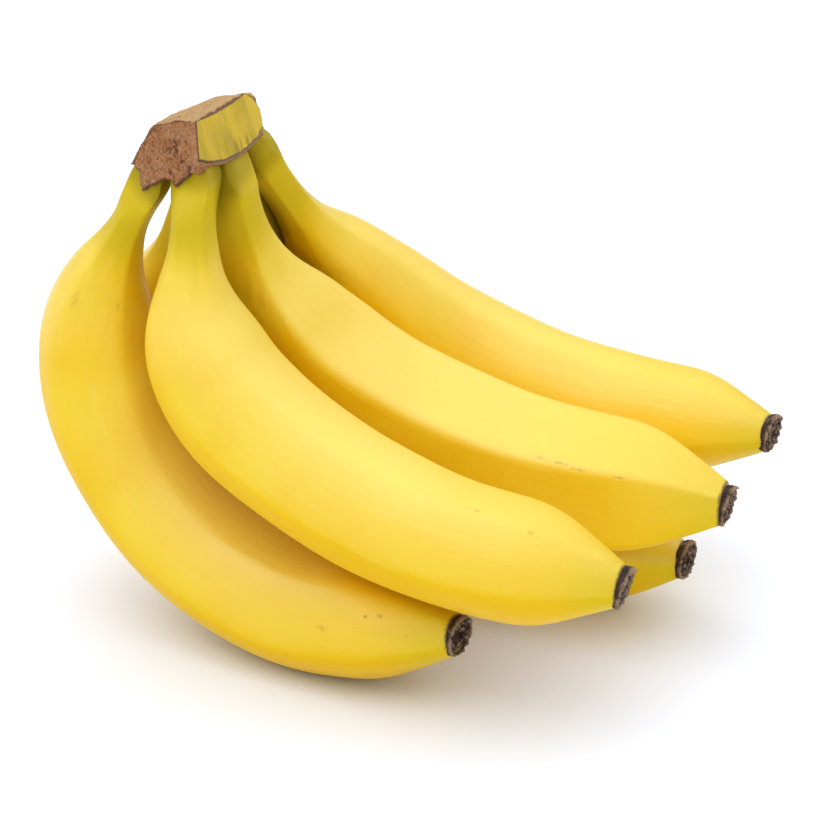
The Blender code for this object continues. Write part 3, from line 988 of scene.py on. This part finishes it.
class BUNCH_OT_crown(bpy.types.Operator):
    """Carve the crown with its torn side, skin side and cut face"""
    bl_idname = "bunch.crown"
    bl_label = "Carve crown"

    def execute(self, context):
        settings = context.scene.bunch_crown
        crown = build_crown(settings)
        finish_piece(crown, "crown_skin", "crown")
        paint_crown(crown, settings)
        return {"FINISHED"}


class BUNCH_OT_flower_ends(bpy.types.Operator):
    """Seat a dried flower end on each tip"""
    bl_idname = "bunch.flower_ends"
    bl_label = "Add flower ends"

    def execute(self, context):
        settings = context.scene.bunch_flower_ends
        form = build_flower_form(settings)
        pieces = []
        for number, fruit in enumerate(BANANAS):
            piece = bpy.data.objects.new("flower_" + fruit.name, form.data.copy())
            piece.data.name = piece.name
            context.scene.collection.objects.link(piece)
            shape_flower_end(piece, fruit, settings, 60 + 5 * number)
            pieces.append(finish_piece(piece, "dried_end", "flower_end_" + fruit.name))
        bpy.data.objects.remove(form)
        paint_flower_ends(pieces, settings)
        return {"FINISHED"}


class BUNCH_OT_studio(bpy.types.Operator):
    """Set up the pale floor, the soft light and the camera"""
    bl_idname = "bunch.studio"
    bl_label = "Set up studio"

    def execute(self, context):
        settings = context.scene.bunch_studio
        clear_selection()
        bpy.ops.mesh.primitive_plane_add(size=settings.floor_size)
        floor = named_primitive("studio_floor")
        paint_floor(floor, settings)
        add_sky(context.scene, settings)
        add_lamp(settings)
        add_camera(context.scene, settings)
        return {"FINISHED"}


def add_sky(scene, settings):
    """Cool light from all round, none at the horizon and the most straight overhead."""
    sky = bpy.data.worlds.new("studio_sky")
    scene.world = sky
    sky.use_nodes = True
    nodes, links = sky.node_tree.nodes, sky.node_tree.links
    direction = nodes.new("ShaderNodeTexCoord")
    height = nodes.new("ShaderNodeSeparateXYZ")
    strength = nodes.new("ShaderNodeMath")
    strength.operation = "MULTIPLY"
    strength.inputs[1].default_value = settings.sky_strength
    links.new(direction.outputs["Generated"], height.inputs[0])
    links.new(height.outputs["Z"], strength.inputs[0])
    nodes["Background"].inputs["Color"].default_value = (*settings.sky_colour, 1.0)
    links.new(strength.outputs[0], nodes["Background"].inputs["Strength"])
    scene.view_settings.view_transform = "Standard"


def add_lamp(settings):
    """One broad, soft lamp high on the left."""
    clear_selection()
    bpy.ops.object.light_add(type="SUN", location=(-0.5, -0.3, 1.2))
    lamp = bpy.context.active_object
    lamp.name = "studio_lamp"
    lamp.data.energy = settings.lamp_strength
    lamp.data.angle = settings.lamp_spread
    lamp.rotation_euler = Vector((-0.45, -0.30, 1.0)).to_track_quat("Z", "Y").to_euler()


def add_camera(scene, settings):
    """The camera, level and looking along +Y from a little above."""
    clear_selection()
    back = Vector((0.0, -math.cos(settings.elevation), math.sin(settings.elevation)))
    bpy.ops.object.camera_add(location=Vector(settings.aim) + back * settings.distance,
                              rotation=(math.pi / 2 - settings.elevation, 0.0, 0.0))
    camera = bpy.context.active_object
    camera.name = "studio_camera"
    camera.data.lens = settings.lens
    camera.data.clip_start = 0.01
    camera.data.clip_end = 50.0
    scene.camera = camera


class BUNCH_PT_panel(bpy.types.Panel):
    """Buttons and settings for the bunch, in the 3D view's sidebar."""
    bl_idname = "BUNCH_PT_panel"
    bl_label = "Bunch of bananas"
    bl_space_type = "VIEW_3D"
    bl_region_type = "UI"
    bl_category = "Bananas"

    def draw(self, context):
        for step, group in zip(STEPS, SETTINGS):
            box = self.layout.box()
            box.operator(step.bl_idname)
            for name in group.__annotations__:
                box.prop(getattr(context.scene, SETTINGS[group]), name)


STEPS = (BUNCH_OT_bananas, BUNCH_OT_crown, BUNCH_OT_flower_ends, BUNCH_OT_studio)
SETTINGS = {
    BananaSettings: "bunch_bananas",
    CrownSettings: "bunch_crown",
    FlowerEndSettings: "bunch_flower_ends",
    StudioSettings: "bunch_studio",
}


def register():
    """Make the settings, the operators and the panel known to Blender."""
    for group, name in SETTINGS.items():
        bpy.utils.register_class(group)
        setattr(bpy.types.Scene, name, PointerProperty(type=group))
    for step in STEPS:
        bpy.utils.register_class(step)
    bpy.utils.register_class(BUNCH_PT_panel)


def unregister():
    """Take the panel, the operators and the settings away again."""
    bpy.utils.unregister_class(BUNCH_PT_panel)
    for step in reversed(STEPS):
        bpy.utils.unregister_class(step)
    for group, name in SETTINGS.items():
        delattr(bpy.types.Scene, name)
        bpy.utils.unregister_class(group)


def main():
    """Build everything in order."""
    register()
    bpy.ops.bunch.bananas()
    bpy.ops.bunch.crown()
    bpy.ops.bunch.flower_ends()
    bpy.ops.bunch.studio()


if __name__ == "__main__":
    main()
